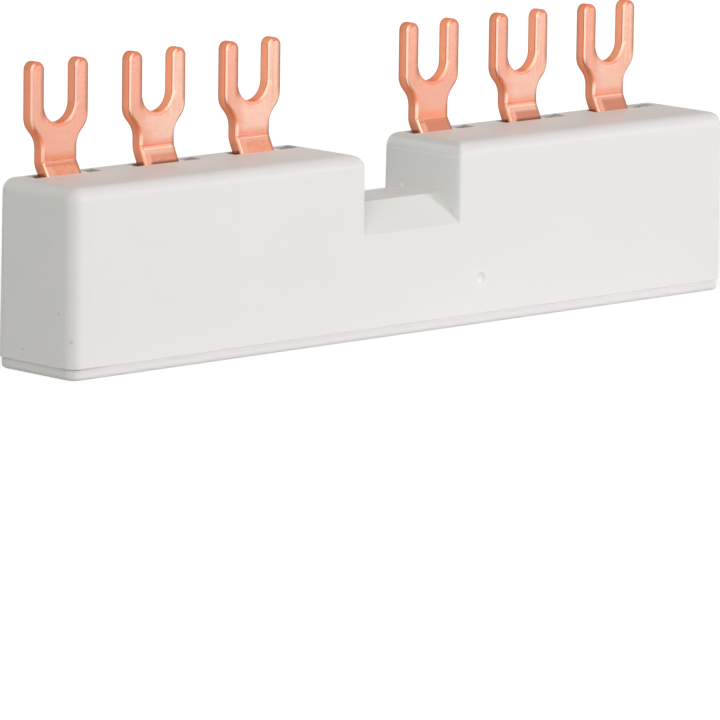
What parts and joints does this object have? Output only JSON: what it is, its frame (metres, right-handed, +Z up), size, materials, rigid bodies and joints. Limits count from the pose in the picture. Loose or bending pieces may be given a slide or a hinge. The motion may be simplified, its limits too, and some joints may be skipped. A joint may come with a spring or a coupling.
{
  "type": "motor starter busbar",
  "caption": "Insulated comb busbar: a light grey plastic housing with a notch between two blocks, and copper forks standing in two groups along its top.",
  "frame": {"origin": "middle of the flat underside of the base cover", "axes": "+X along the housing, with the forks of phase one, two and three following each other in that direction; +Y to the back, the side that the forks stand near; +Z up, towards the fork tips"},
  "size_m": [0.097, 0.0124, 0.0321],
  "materials": {
    "housing_plastic": "light grey moulded plastic, fine matt texture",
    "cover_plastic": "light grey moulded plastic, fine matt texture",
    "separator_plastic": "pale grey moulded plastic, plain",
    "copper": "bare stamped copper strip, satin, with rolled edges"
  },
  "bodies": {
    "root": {"housing": "housing_plastic", "base_cover": "cover_plastic", "phase_bar_1": "copper", "phase_bar_2": "copper", "phase_bar_3": "copper", "front_separator": "separator_plastic", "rear_separator": "separator_plastic"}
  },
  "joints": []
}
